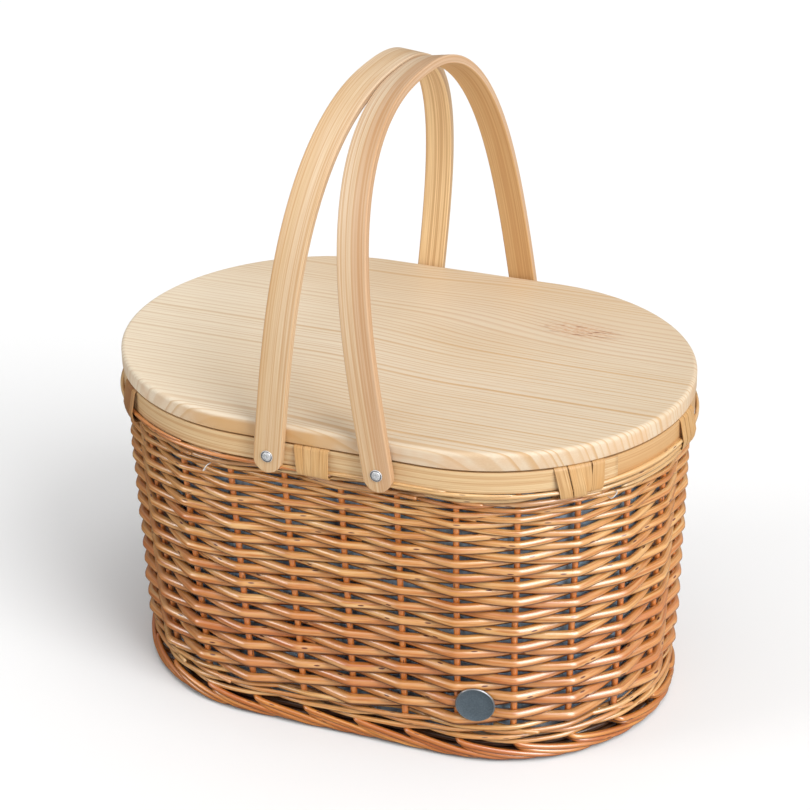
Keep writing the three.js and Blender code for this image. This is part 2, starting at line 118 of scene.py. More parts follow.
# Sizes of the looks alone
LID_EDGE = 3.4 * MM
LID_ARRIS = 1.2 * MM
WOOD_EDGE = 0.8 * MM
HANDLE_LENGTH = 690 * MM
HANDLE_GRAIN_START = 1.0
ROD_SIDES = 10
ROD_END_SHARE = 0.75
STAKE_GAP = 0.2 * MM
STEPS_PER_BAY = 10
RING_STEPS = 240


# Oval tracks: two straight sides joined by half circles


def track_length(straight, radius):
    return 4 * straight + 2 * math.pi * radius


# The rim, along which stakes and shares of the way round are counted
RIM_RADIUS = (OUTER_HOOP_RADIUS + INNER_HOOP_RADIUS - HOOP_THICKNESS) / 2
RIM_LENGTH = track_length(RIM_STRAIGHT, RIM_RADIUS)
STAKE_SPACING = RIM_LENGTH / STAKE_COUNT
DISC_SHARE = (STAKE_START + DISC_STAKE * STAKE_SPACING + DISC_BESIDE_STAKE) / RIM_LENGTH


def track_spots(straight, radius, distance):
    """Points and outward directions on an oval track, at distances from its front middle towards +X."""
    bend = math.pi * radius
    rest = np.mod(distance, track_length(straight, radius))
    front = np.clip(rest, 0, straight)
    right = np.clip((rest - straight) / radius, 0, math.pi)
    back = np.clip(rest - straight - bend, 0, 2 * straight)
    left = np.clip((rest - 3 * straight - bend) / radius, 0, math.pi)
    last = np.clip(rest - 3 * straight - 2 * bend, 0, straight)
    turn = right + left - math.pi / 2
    out = np.stack([np.cos(turn), np.sin(turn), 0 * turn], axis=-1)
    points = out * np.asarray(radius)[..., None]
    points[..., 0] += front - back + last
    return points, out


def wall_spots(share, z, offset):
    """Points on the wall at shares of the way round, moved out by an offset, and the outward directions."""
    share, z, offset = np.broadcast_arrays(*[np.asarray(value, float) for value in (share, z, offset)])
    way = np.clip(z / HOOP_BOTTOM, 0, 1)
    straight = FOOT_STRAIGHT + (RIM_STRAIGHT - FOOT_STRAIGHT) * way
    radius = FOOT_RADIUS + (RIM_RADIUS - FOOT_RADIUS) * way
    points, out = track_spots(straight, radius, share * track_length(straight, radius))
    points = points + out * offset[..., None]
    points[..., 2] = z
    return points, out


def stake_share(place):
    """The share of the way round at a place counted in stakes, which need not be a whole number."""
    return (STAKE_START + np.asarray(place, float) * STAKE_SPACING) / RIM_LENGTH


def track_ring(straight, radius, z):
    distance = track_length(straight, radius) * np.arange(RING_STEPS) / RING_STEPS
    points, _ = track_spots(straight, radius, distance)
    points[:, 2] = z
    return points


def curve_through(points, steps):
    """A smooth line through points, with so many steps from each to the next."""
    points = np.asarray(points, float)
    padded = np.concatenate([[2 * points[0] - points[1]], points, [2 * points[-1] - points[-2]]])
    way = np.arange(steps)[:, None] / steps
    spans = []
    for a, b, c, d in zip(padded, padded[1:], padded[2:], padded[3:]):
        rise = (c - a) * way
        bow = (2 * a - 5 * b + 4 * c - d) * way**2
        turn = (3 * b - a - 3 * c + d) * way**3
        spans.append(b + (rise + bow + turn) / 2)
    return np.concatenate([*spans, points[-1:]])


# Meshes


def mesh_piece(name, points, faces, grain, material, tint=0.5):
    """A smooth mesh whose points know their place in the wood (grain) and the shade of their piece (tint)."""
    mesh = bpy.data.meshes.new(name)
    mesh.from_pydata(np.asarray(points).tolist(), [], faces)
    mesh.shade_smooth()
    places = mesh.attributes.new("grain", "FLOAT_VECTOR", "POINT")
    places.data.foreach_set("vector", np.ravel(grain).astype(np.float32))
    shades = mesh.attributes.new("tint", "FLOAT", "POINT")
    shades.data.foreach_set("value", np.full(len(points), tint, np.float32))
    mesh.materials.append(material)
    piece = bpy.data.objects.new(name, mesh)
    bpy.context.scene.collection.objects.link(piece)
    return piece


def ring_faces(rings, size, closed):
    """Quads between rings of equal size, with end caps unless the last ring meets the first."""
    faces = []
    for ring in range(rings if closed else rings - 1):
        here, there = ring * size, (ring + 1) % rings * size
        for side in range(size):
            after = (side + 1) % size
            faces.append((here + side, here + after, there + after, there + side))
    if not closed:
        last = (rings - 1) * size
        faces.append(tuple(range(size - 1, -1, -1)))
        faces.append(tuple(range(last, last + size)))
    return faces


def unit(vectors):
    return vectors / np.linalg.norm(vectors, axis=-1, keepdims=True)


def sweep(name, line, across, outward, profiles, material, tint=0.5, closed=False, start=0.0):
    """Profiles carried along a line: their first column goes across and their second outward.

    A direction or a profile is one for the whole line, or one for each of its points.
    """
    across, outward = (np.broadcast_to(way, line.shape)[:, None] for way in (across, outward))
    profiles = np.broadcast_to(profiles, (len(line), *np.shape(profiles)[-2:]))
    rings, size = profiles.shape[:2]
    points = line[:, None] + profiles[..., :1] * across + profiles[..., 1:] * outward
    steps = np.linalg.norm(np.diff(line, axis=0), axis=1)
    along = start + np.concatenate([[0], np.cumsum(steps)])
    grain = np.concatenate([np.broadcast_to(along[:, None, None], (rings, size, 1)), profiles], axis=2)
    return mesh_piece(name, points.reshape(-1, 3), ring_faces(rings, size, closed), grain, material, tint)


def rod(name, line, out, radius, material, tint=None, closed=False):
    """A round rod along a line. Its grain starts anywhere along the wood, so no two rods match."""
    radius = np.broadcast_to(radius, len(line)).copy()
    if closed:
        ahead = unit(np.roll(line, -1, axis=0) - np.roll(line, 1, axis=0))
    else:
        ahead = unit(np.gradient(line, axis=0))
        radius[[0, -1]] *= ROD_END_SHARE
    outward = unit(out - ahead * np.sum(out * ahead, axis=1, keepdims=True))
    across = np.cross(ahead, outward)
    angles = 2 * math.pi * np.arange(ROD_SIDES) / ROD_SIDES
    circle = np.stack([np.cos(angles), np.sin(angles)], axis=1)
    tint = random.uniform() if tint is None else tint
    start = random.uniform(0, 40)
    return sweep(name, line, across, outward, circle * radius[:, None, None], material, tint, closed, start)


def rounded_profile(width, thickness, edge, steps=3):
    """A rectangle with round corners, as points across and outward.

    A point a margin away from the ends of each corner keeps the sides flat.
    """
    margin = 0.5 * MM
    edge = min(edge, width * 0.45, thickness * 0.45)
    corners = []
    for quarter, (x, y) in enumerate([(1, -1), (1, 1), (-1, 1), (-1, -1)]):
        centre = np.array([x * (width / 2 - edge), y * (thickness / 2 - edge)])
        angles = (quarter - 1 + np.arange(steps + 1) / steps) * math.pi / 2
        around = np.stack([np.cos(angles), np.sin(angles)], axis=1)
        ahead = np.stack([-around[:, 1], around[:, 0]], axis=1)
        sides = (width, thickness) if quarter % 2 == 0 else (thickness, width)
        before, after = (min(margin, (side / 2 - edge) / 2) for side in sides)
        arc = centre + edge * around
        corners.append(np.concatenate([arc[:1] - before * ahead[:1], arc, arc[-1:] + after * ahead[-1:]]))
    return np.concatenate(corners)


def lathe(name, profile, place, direction, material, sides=40, ring=False):
    """A turned piece: its profile gives radius and height along a direction from a place.

    A ring's profile closes on itself.
    """
    turn = Vector(direction).to_track_quat("Z", "Y").to_matrix()
    angles = 2 * math.pi * np.arange(sides) / sides
    upright = [Vector((r * math.cos(a), r * math.sin(a), level)) for r, level in profile for a in angles]
    points = [turn @ point + Vector(place) for point in upright]
    return mesh_piece(name, points, ring_faces(len(profile), sides, ring), upright, material)


def settle(piece, body, slot, *nodes):
    """The piece rides on a body and stands for CAD nodes, which it hides. Its slot is not used."""
    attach(piece, body)
    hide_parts(*nodes)
    return piece


# Materials


def tone(red, green, blue):
    """A colour as seen on screen, 0 to 255, in the linear values that shaders use."""
    values = [value / 255 for value in (red, green, blue)]
    return (*[v / 12.92 if v <= 0.04045 else ((v + 0.055) / 1.055) ** 2.4 for v in values], 1)


class Nodes:
    """A node tree in the making: most methods add a node and give its output."""

    def __init__(self, tree):
        self.tree = tree

    def node(self, kind, inputs, output=0, **settings):
        made = self.tree.nodes.new(kind)
        for key, value in settings.items():
            setattr(made, key, value)
        for socket, value in inputs.items():
            self.feed(made.inputs[socket], value)
        return made.outputs[output]

    def feed(self, socket, value):
        if isinstance(value, bpy.types.NodeSocket):
            self.tree.links.new(value, socket)
        else:
            socket.default_value = value

    def part(self, vector, axis):
        return self.node("ShaderNodeSeparateXYZ", {0: vector}, axis)

    def flat(self, x, y=0.0):
        return self.node("ShaderNodeCombineXYZ", {"X": x, "Y": y})

    def length(self, vector):
        return self.node("ShaderNodeVectorMath", {0: vector}, "Value", operation="LENGTH")

    def calc(self, operation, first, second=0.0, third=0.0):
        return self.node("ShaderNodeMath", {0: first, 1: second, 2: third}, operation=operation)

    def times(self, first, second):
        return self.calc("MULTIPLY", first, second)

    def away(self, value, middle):
        """How far a value is from a middle, to either side."""
        return self.calc("ABSOLUTE", self.calc("SUBTRACT", value, middle))

    def between(self, value, low, high, to_low=0.0, to_high=1.0):
        """A smooth step from one number to another while the value goes from low to high."""
        inputs = {"Value": value, "From Min": low, "From Max": high, "To Min": to_low, "To Max": to_high}
        return self.node("ShaderNodeMapRange", inputs, interpolation_type="SMOOTHSTEP")


class Finish(Nodes):
    """A material in the making."""

    def __init__(self, name, settings):
        self.material = bpy.data.materials.new(name)
        self.material.use_nodes = True
        super().__init__(self.material.node_tree)
        self.surface = self.tree.nodes["Principled BSDF"]
        for socket, value in settings.items():
            self.surface.inputs[socket].default_value = value

    def set(self, socket, value):
        self.feed(self.surface.inputs[socket], value)

    def grain(self, stretch, move=(0, 0, 0)):
        """The place in the wood, with each direction multiplied by its own number."""
        place = self.node("ShaderNodeAttribute", {}, "Vector", attribute_name="grain")
        inputs = {0: place, 1: stretch, 2: move}
        return self.node("ShaderNodeVectorMath", inputs, operation="MULTIPLY_ADD")

    def tint(self):
        return self.node("ShaderNodeAttribute", {}, "Fac", attribute_name="tint")

    def noise(self, vector, detail=2.0, roughness=0.5):
        inputs = {"Vector": vector, "Scale": 1, "Detail": detail, "Roughness": roughness}
        return self.node("ShaderNodeTexNoise", inputs)

    def mottle(self, stretch, move=(0, 0, 0), **kind):
        """Noise that follows the wood."""
        return self.noise(self.grain(stretch, move), **kind)

    def cells(self, vector, **settings):
        return self.node("ShaderNodeTexVoronoi", {"Vector": vector, "Scale": 1}, "Distance", **settings)

    def ramp(self, factor, stops):
        made = self.node("ShaderNodeValToRGB", {0: factor})
        elements = made.node.color_ramp.elements
        while len(elements) < len(stops):
            elements.new(1)
        for element, (place, colour) in zip(elements, stops):
            element.position = place
            element.color = tone(*colour)
        return made

    def mix(self, factor, first, second):
        first, second = (tone(*colour) if isinstance(colour, tuple) else colour for colour in (first, second))
        return self.node("ShaderNodeMix", {0: factor, 6: first, 7: second}, 2, data_type="RGBA")

    def stain(self, wood, colour, value, *steps):
        """Wood with a colour mixed in by a smooth step of a value."""
        return self.mix(self.between(value, *steps), wood, colour)

    def ring_line(self, ring):
        """How dark a growth ring is: it deepens slowly into late wood, then starts again."""
        return self.times(self.between(ring, 0.5, 0.88), self.between(ring, 0.9, 1, 1, 0))

    def bump(self, height, strength, distance):
        inputs = {"Height": height, "Strength": strength, "Distance": distance}
        self.set("Normal", self.node("ShaderNodeBump", inputs))

    def done(self, colour, value, *steps):
        """The material, with its colour and a roughness that is a smooth step of a value."""
        self.set("Base Color", colour)
        self.set("Roughness", self.between(value, *steps))
        return self.material


def willow_finish(name, under, pale, warm, deep, blush):
    """Buff willow: long streaks, slow changes along each rod, small dark bud marks and painted shade on the
    underside.
    """
    gloss = {"Specular IOR Level": 0.5, "Coat Weight": 1.0, "Coat Roughness": 0.23, "Coat IOR": 2.0}
    look = Finish(name, gloss)
    streaks = look.mottle((22, 620, 620), detail=3, roughness=0.6)
    patches = look.mottle((9, 40, 40), (3, 1, 2))
    flush = look.mottle((13, 120, 120), (8, 4, 6), detail=3)
    wood = look.ramp(streaks, [(0.26, deep), (0.45, warm), (0.62, pale)])
    wood = look.stain(wood, warm, patches, 0.35, 0.7, 0, 0.5)
    wood = look.stain(wood, blush, flush, 0.5, 0.75, 0, 0.55)
    wood = look.stain(wood, pale, flush, 0.25, 0.45, 0.4, 0)
    wood = look.stain(wood, blush, look.tint(), 0.25, 1, 0, 0.6)
    # The bud marks lie on the bark as if it were unrolled: along the rod and round it
    place = look.grain((1, 1, 1))
    across = look.part(place, "Y")
    turn = look.calc("ARCTAN2", across, look.part(place, "Z"))
    bark = look.flat(look.times(look.part(place, "X"), 20), look.times(turn, 0.3))
    marks = look.cells(bark, voronoi_dimensions="2D")
    wood = look.stain(wood, pale, marks, 0.07, 0.18, 0.4, 0)
    # Painted shade: the underside of each rod is darkened to deep red-brown, by the share given as under
    wood = look.stain(wood, (74, 20, 3), across, 0.3 * MM, 1.9 * MM, 0, under)
    bud = look.between(marks, 0.035, 0.06, 1, 0)
    look.bump(look.calc("MULTIPLY_ADD", bud, -0.8, streaks), 0.35, 0.35 * MM)
    return look.done(look.mix(bud, wood, (104, 30, 12)), streaks, 0.2, 0.8, 0.32, 0.5)


def pine_finish():
    """Pine board: growth rings along the length, which swirl past a spot flecked with resin."""
    look = Finish("pine_board", {"Specular IOR Level": 0.35, "Coat Weight": 0.06, "Coat Roughness": 0.35})
    swirl_y, honey_x = 0.065, -0.05
    place = look.grain((1, 1, 1))
    along, across, level = (look.part(place, axis) for axis in "XYZ")
    # Growth rings, moved aside by the swirl and by a slow wander
    beside = look.away(across, swirl_y)
    swirl = look.between(along, -0.02, 0.16, 0.009, -0.01)
    near = look.between(beside, 0, 0.08, 1, 0)
    moved = look.calc("MULTIPLY_ADD", swirl, look.times(near, -1), across)
    wide = look.times(look.between(along, -0.06, 0.06), look.between(across, 0.02, 0.12, 0.01, -0.01))
    moved = look.calc("ADD", moved, wide)
    wander = look.mottle((1.6, 7, 7))
    moved = look.calc("MULTIPLY_ADD", wander, 0.006, moved)
    moved = look.calc("MULTIPLY_ADD", level, 0.3, moved)
    spacing = look.noise(look.flat(look.times(moved, 42)))
    rings = look.calc("MULTIPLY_ADD", spacing, 5, look.times(moved, 225))
    each = look.flat(look.calc("FLOOR", rings), look.times(along, 3))
    strength = look.between(look.noise(each, detail=0), 0.3, 0.7, 0.35, 0.75)
    line = look.times(look.ring_line(look.calc("FRACT", rings)), strength)
    # The board is painted paler on the left, as painted light that evens out the shadow of the handles, and
    # it is darker at the back; its lines are rosy and weak along the swirl
    fibres = look.mottle((28, 1500, 1500))
    patches = look.mottle((5, 14, 14), (7, 3, 1))
    shades = [(0.3, (225, 210, 187)), (0.55, (222, 205, 179)), (0.8, (215, 193, 162))]
    wood = look.ramp(patches, shades)
    # Painted light: paler towards the left, against the shadow of the handles
    wood = look.stain(wood, (242, 228, 204), along, -0.22, 0.06, 0.9, 0)
    wood = look.stain(wood, (212, 184, 148), across, 0.03, 0.15, 0, 0.5)
    rosy = look.times(look.between(along, -0.06, 0.04), look.between(beside, 0.01, 0.06, 0.6, 0))
    line = look.times(line, look.calc("MULTIPLY_ADD", rosy, -0.45, 1))
    line = look.times(line, look.between(along, -0.2, 0.02, 0.6, 1))
    wood = look.mix(line, wood, look.mix(rosy, (198, 152, 94), (186, 130, 86)))
    wood = look.stain(wood, (176, 134, 90), fibres, 0.35, 0.75, 0.14, 0)
    # The lid's edge is blotched, with a patch of honey colour left of its middle
    edge = look.between(level, lid_high.z - 5 * MM, lid_high.z - 1 * MM, 1, 0)
    edge = look.times(edge, look.tint())
    blotch = look.between(look.mottle((45, 45, 30)), 0.35, 0.7, 0.1, 0.6)
    wood = look.mix(look.times(edge, blotch), wood, (214, 172, 128))
    honey = look.between(look.away(along, honey_x), 0.03, 0.1, 0.75, 0)
    wood = look.mix(look.times(edge, honey), wood, (204, 156, 94))
    # Resin: flecks and a few dark streaks round one spot
    from_resin = look.length(look.grain((22, 46, 0), (-2.6, -3.3, 0)))
    flecks = look.mottle((240, 900, 900))
    resin = look.times(look.between(from_resin, 0, 1, 0.6, 0), look.between(flecks, 0.4, 0.62))
    wood = look.mix(resin, wood, (196, 134, 92))
    streaks = look.between(look.mottle((60, 420, 420), (1, 2, 3)), 0.6, 0.68)
    dark = look.times(look.between(from_resin, 0.2, 0.9, 0.85, 0), streaks)
    look.bump(look.calc("MULTIPLY_ADD", line, -0.5, fibres), 0.12, 0.25 * MM)
    return look.done(look.mix(dark, wood, (140, 78, 44)), fibres, 0.2, 0.8, 0.42, 0.56)


def bentwood_finish(name, pale, honey, blush, inner):
    """Bent strip: fine lines along its length, a rosy band on one side, glue lines on its edges."""
    look = Finish(f"{name}_wood", {"Specular IOR Level": 0.4, "Coat Weight": 0.08, "Coat Roughness": 0.3})
    place = look.grain((1, 1, 1))
    across = look.part(place, "Y")
    depth = look.part(place, "Z")
    line = look.between(look.mottle((2.2, 900, 900), (4, 9, 2), detail=1), 0.48, 0.6)
    fibres = look.mottle((16, 1300, 1300), detail=3)
    patches = look.mottle((6, 60, 60), (2, 5, 4))
    wood = look.stain(pale, honey, patches, 0.35, 0.7, 0, 0.6)
    # Handles are darker towards their ends. Only a hoop has grain near 0, since that of a handle starts later
    along = look.calc("ABSOLUTE", look.part(place, "X"))
    from_top = look.away(along, HANDLE_GRAIN_START + HANDLE_LENGTH / 2)
    wood = look.stain(wood, honey, from_top, 0.02, 0.34, 0.3, 0.7)
    # The hoop is darker for a stretch after its lap, round the right end: partly its own darker wood there,
    # partly painted shade against the light from the right
    wood = look.stain(wood, (198, 152, 98), along, 0.1, 0.35, 0.7, 0)
    tint = look.tint()
    band = look.times(look.between(across, -1.2 * MM, 0.4 * MM, 1, 0.12), tint)
    wood = look.mix(band, wood, blush)
    facing_in = look.mix(tint, inner, (192, 144, 84))
    wood = look.stain(wood, facing_in, depth, -3.2 * MM, -2.4 * MM, 0.9, 0)
    wood = look.mix(look.times(line, 0.5), wood, (190, 136, 80))
    wood = look.stain(wood, (178, 122, 68), fibres, 0.3, 0.7, 0.3, 0)
    ply = look.away(look.calc("ABSOLUTE", depth), 1.08 * MM)
    wood = look.stain(wood, (150, 96, 50), ply, 0, 0.22 * MM, 0.5, 0)
    look.bump(fibres, 0.12, 0.25 * MM)
    return look.done(wood, fibres, 0.2, 0.8, 0.36, 0.52)


def cane_finish():
    """Split cane: straw coloured, with long fibres and a satin skin, and browner where its tint is high."""
    look = Finish("split_cane", {"Specular IOR Level": 0.45, "Coat Weight": 0.1, "Coat Roughness": 0.3})
    fibres = look.mottle((30, 1600, 1600), detail=3)
    patches = look.mottle((20, 90, 90))
    shades = [(0.25, (168, 122, 72)), (0.5, (202, 160, 106)), (0.75, (216, 180, 130))]
    wood = look.ramp(fibres, shades)
    wood = look.stain(wood, (205, 150, 84), patches, 0.4, 0.7, 0, 0.5)
    wood = look.stain(wood, (138, 80, 36), look.tint(), 0.5, 2.5, 0, 0.85)
    look.bump(fibres, 0.3, 0.3 * MM)
    return look.done(wood, fibres, 0.2, 0.8, 0.36, 0.55)


def foil_finish():
    """Crinkled grey-blue foil of the liner, with sharp creases and small ones painted pale along their lines
    as painted glints.
    """
    gloss = {"Specular IOR Level": 0.8, "Coat Weight": 1.0, "Coat Roughness": 0.2, "Coat IOR": 2.0}
    look = Finish("liner_foil", gloss)
    creases = look.cells(look.grain((120, 150, 150)), feature="DISTANCE_TO_EDGE")
    small = look.cells(look.grain((330, 380, 380), (5, 2, 1)), feature="DISTANCE_TO_EDGE")
    worn = look.mottle((40, 40, 40), detail=3)
    shades = [(0.3, (164, 206, 246)), (0.55, (188, 224, 252)), (0.8, (216, 240, 255))]
    foil = look.ramp(worn, shades)
    look.bump(look.calc("MULTIPLY_ADD", small, 0.5, creases), 0.7, 2.5 * MM)
    # Painted highlight: pale lines along the small creases stand for glints
    foil = look.stain(foil, (232, 238, 242), small, 0, 0.08, 0.4, 0)
    return look.done(foil, worn, 0.3, 0.7, 0.26, 0.5)


def steel_finish():
    """Bright plated steel: fine turning marks, a little tarnish and painted shade in the groove round a
    screw's head.
    """
    look = Finish("plated_steel", {"Metallic": 0.4, "Specular IOR Level": 0.7})
    reach = look.length(look.grain((1, 1, 0)))
    turned = look.noise(look.flat(look.times(reach, 9000)))
    tarnish = look.mottle((500, 500, 500), detail=3)
    metal = look.ramp(tarnish, [(0.3, (206, 208, 210)), (0.7, (232, 233, 234))])
    # Painted shade: the groove round the head is darkened
    groove = look.between(look.away(reach, 3.85 * MM), 0.2 * MM, 0.5 * MM, 0.85, 0)
    look.bump(turned, 0.08, 0.1 * MM)
    return look.done(look.mix(groove, metal, (46, 46, 48)), tarnish, 0.3, 0.7, 0.2, 0.38)


def disc_finish():
    """Slate lacquer with a bright metal rim."""
    look = Finish("slate_disc", {"Specular IOR Level": 0.5, "Coat Weight": 0.2, "Coat Roughness": 0.2})
    reach = look.length(look.grain((1, 1, 0)))
    rim = look.between(reach, DISC_RADIUS - 1.0 * MM, DISC_RADIUS - 0.6 * MM)
    speckle = look.mottle((900, 900, 900), detail=3)
    lacquer = look.ramp(speckle, [(0.3, (68, 79, 87)), (0.7, (87, 100, 109))])
    look.set("Metallic", rim)
    look.bump(speckle, 0.05, 0.1 * MM)
    return look.done(look.mix(rim, lacquer, (190, 194, 198)), speckle, 0.3, 0.7, 0.3, 0.44)


def thread_finish():
    """White nylon thread with a fine twist."""
    look = Finish("nylon_thread", {"Specular IOR Level": 0.5})
    twist = look.mottle((900, 200, 200))
    white = look.ramp(twist, [(0.3, (214, 216, 216)), (0.7, (240, 241, 240))])
    return look.done(white, twist, 0.3, 0.7, 0.3, 0.5)


def floor_finish():
    look = Finish("pale_floor", {"Specular IOR Level": 0.1})
    mottle = look.noise(look.node("ShaderNodeTexCoord", {}, "Object"), detail=3)
    grey = {"Value": mottle, "From Min": 0.3, "From Max": 0.7, "To Min": 0.88, "To Max": 0.9}
    return look.done(look.node("ShaderNodeMapRange", grey), mottle, 0.3, 0.7, 0.7, 0.8)


# The first number of each willow is its share of painted shade on the rods' undersides
WEAVER = willow_finish("willow", 0.97, (235, 186, 120), (209, 139, 64), (154, 74, 20), (194, 100, 36))
THIN_ROD = willow_finish("thin_willow", 0.95, (237, 192, 128), (212, 148, 74), (156, 84, 28), (194, 108, 46))
RIM_ROD = willow_finish("rim_willow", 0.95, (234, 198, 142), (214, 166, 104), (168, 110, 56), (196, 130, 76))
FOOT_ROD = willow_finish("foot_willow", 0.95, (226, 154, 66), (198, 115, 36), (144, 70, 16), (186, 94, 28))
# Dark willow painted as shade, for rods that lie deep inside the foot
SHADE_PAINTED_ROD = willow_finish("shade_painted_willow", 0.9, (120, 76, 40), (96, 56, 26), (66, 36, 16), (88, 46, 22))
STAKE = willow_finish("stake_willow", 0, (236, 152, 78), (220, 128, 54), (180, 92, 34), (222, 130, 66))
PINE = pine_finish()
HANDLE_WOOD = bentwood_finish("handle", (237, 222, 199), (206, 171, 122), (205, 167, 132), (255, 223, 172))
HOOP_WOOD = bentwood_finish("hoop", (230, 208, 166), (222, 192, 145), (214, 176, 126), (214, 178, 124))
CANE = cane_finish()
FOIL = foil_finish()
STEEL = steel_finish()
SLATE = disc_finish()
THREAD = thread_finish()


# Willow wall


def willow_rod(node, name, line, out, radius, material, tint=None, closed=False):
    """A rod that stands for a woven CAD node of the basket, alone or with others."""
    settle(rod(name, line, out, radius, material, tint, closed), "basket", "willow", node)


def stake_steps(first, last):
    """Places from one to another, counted in stakes, close together where a rod bends round a stake."""
    crowding = 0.75
    even = np.linspace(first, last, int((last - first) * STEPS_PER_BAY))
    return even - crowding * np.sin(2 * math.pi * even) / (2 * math.pi)


def bent(phase):
    """A wave between 1 and -1 over two stakes: straight between them, with a bend at each."""
    sharpness = 0.994
    return np.arcsin(sharpness * np.cos(math.pi * phase)) / math.asin(sharpness)


def weave_height(crossing):
    """The height of the climbing weave and the pitch of its rows after so many stakes.

    The rods get thinner all the way up, slowly at first and fast near the top.
    """
    bottom, top = LOWER_WALE[1], UPPER_WALE[0]
    turns = WEAVE_ROWS - 1
    way = crossing / (STAKE_COUNT * turns)
    steady, late = 0.28, 0.28
    mean = 1 - steady / 2 - late / 6
    first_pitch = (top - bottom) / (turns * mean + 1 - (steady + late) / 2)
    pitch = first_pitch * (1 - steady * way - late * np.sign(way) * np.abs(way) ** 5)
    climb = first_pitch * turns * (way - steady / 2 * way**2 - late / 6 * way**6)
    return bottom + first_pitch / 2 + climb, pitch


def add_stakes():
    """Upright rods, drawn a little thicker than their solids and thinning upwards."""
    bottom, top = 14 * MM, HOOP_TOP - 0.6 * MM
    steps, knots = 24, 6
    z = np.linspace(bottom, top, steps)
    radius = np.linspace(1.2, 1.06, steps) * STAKE_RADIUS
    for index in range(STAKE_COUNT):
        sway = np.interp(z, np.linspace(z[0], z[-1], knots), random.normal(0, 0.3 * MM, knots))
        line, out = wall_spots(stake_share(index) + sway / RIM_LENGTH, z, 0)
        number = f"{index + 1:02d}"
        piece = rod(f"stake_rod_{number}", line, out, radius, STAKE)
        settle(piece, "basket", "willow_stake", f"stake_{number}")


def add_weave():
    """The plain weave, as rods of about a turn each, whose ends lie side by side behind a stake."""
    last = (WEAVE_ROWS - 1) * STAKE_COUNT
    stakes = np.arange(-2, last + 3)
    lift = random.normal(0, 0.42 * MM, len(stakes))
    push = random.normal(0, 0.22 * MM, len(stakes))
    thick = random.normal(1, 0.035, len(stakes))
    past_stake, fullness, bend = 0.4, 1.12, 0.8
    disc_margin, disc_slope = 1.5 * MM, 0.6
    start, number = -1, 1
    while start < last:
        end = min(start + 2 * int(random.integers(13, 20)), last + 1)
        crossing = stake_steps(start - past_stake, end + past_stake)
        height, pitch = weave_height(crossing)
        taper = np.linspace(1.05, 0.96, len(crossing)) * np.interp(crossing, stakes, thick)
        radius = (pitch - ROW_GAP) / 2 * taper * fullness
        beside = np.clip(1 - (crossing - crossing[0]), 0, 1) - np.clip(1 - (crossing[-1] - crossing), 0, 1)
        height = height + beside * pitch / 3 + np.interp(crossing, stakes, lift)
        offset = bend * bent(crossing) * (STAKE_RADIUS + radius) + np.interp(crossing, stakes, push)
        # Behind the disc the rods stay clear of its back
        share = stake_share(crossing)
        beside_disc = (np.mod(share - DISC_SHARE + 0.5, 1) - 0.5) * track_length(FOOT_STRAIGHT, FOOT_RADIUS)
        from_disc = np.hypot(beside_disc, height - DISC_HEIGHT) - DISC_RADIUS - disc_margin
        room = DISC_OFFSET - FIT_GAP - radius + disc_slope * np.maximum(from_disc, 0)
        line, out = wall_spots(share, height, np.minimum(offset, room))
        # Rods low on the wall get a redder, darker tint as painted shade; the rest of the tint is each rod's
        # own random tone
        low_shade_and_tone = 0.55 * (1 - height.mean() / HOOP_BOTTOM) + 0.45 * random.uniform()
        willow_rod("wall_weave", f"weaver_{number:02d}", line, out, radius, WEAVER, low_shade_and_tone)
        start, number = end, number + 1


def add_filler(name, crossings, turn, above):
    """A tapered rod that packs the wedge between a level wale and the weave, which climbs away from it."""
    gap, thinnest = 0.1 * MM, 0.5 * MM
    crossing = stake_steps(*crossings)
    height, pitch = weave_height(crossing + turn * STAKE_COUNT)
    reach = (pitch - ROW_GAP) / 2
    wale = UPPER_WALE[0] if above else LOWER_WALE[1]
    edge = height + reach if above else height - reach
    radius = np.maximum(np.abs(wale - edge) / 2 - gap, thinnest)
    offset = -bent(crossing + turn * STAKE_COUNT) * (STAKE_RADIUS + STAKE_GAP + radius)
    line, out = wall_spots(stake_share(crossing), (wale + edge) / 2, offset)
    willow_rod("upper_wale" if above else "lower_wale", name, line, out, radius, THIN_ROD)


def add_wale(node, band, rows, thickness, rise, material):
    """A waled band: each rod passes in front of two stakes, rising as it goes, and behind the third."""
    bottom, top = band
    past_stake, press = 0.45, 1.25
    pitch = (top - bottom) / rows
    for row in range(rows):
        start = 2 - row
        end = start + STAKE_COUNT
        place = np.linspace(start - past_stake, end + past_stake, (STAKE_COUNT + 1) * STEPS_PER_BAY)
        phase = np.mod(place + row + 0.5, 3)
        front = np.minimum(press * np.sin(math.pi * phase / 2), 1)
        side = np.where(phase < 2, front, -np.sin(math.pi * (phase - 2)))
        slant = np.where(phase < 2, phase / 2, 3 - phase) - 0.5
        stakes = np.arange(start - 2, end + 3)
        radius = thickness / 2 * np.interp(place, stakes, random.normal(1, 0.07, len(stakes)))
        height = bottom + pitch * (row + 0.5) + rise * slant
        height = height + np.interp(place, stakes, random.normal(0, 0.25 * MM, len(stakes)))
        line, out = wall_spots(stake_share(place), height, side * (STAKE_RADIUS + STAKE_GAP + radius))
        willow_rod(node, f"{node}_rod_{row + 1}", line, out, radius, material)


# Thicker rods under the hoop at the right end: the first and last place counted in stakes, then the height
# above the hoop's lower edge at both, and the radius, in millimetres
PACKED_RODS = [(3.7, 6.5, -1.6, 0.6, 2.2), (4.0, 6.6, -6.0, -3.4, 2.2), (4.7, 6.7, -9.6, -7.2, 2.0)]
OUTSIDE_HOOP = OUTER_HOOP_RADIUS - RIM_RADIUS + 0.1 * MM


def behind_handles(line, out, radius):
    """The line of a rod, pressed in where it would touch a handle that folds past it."""
    clearance = 0.4 * MM
    limit = HANDLE_OUTSIDE - HANDLE_THICKNESS - clearance
    return line - out * np.maximum(np.abs(line[:, 1]) + radius - limit, 0)[:, None]


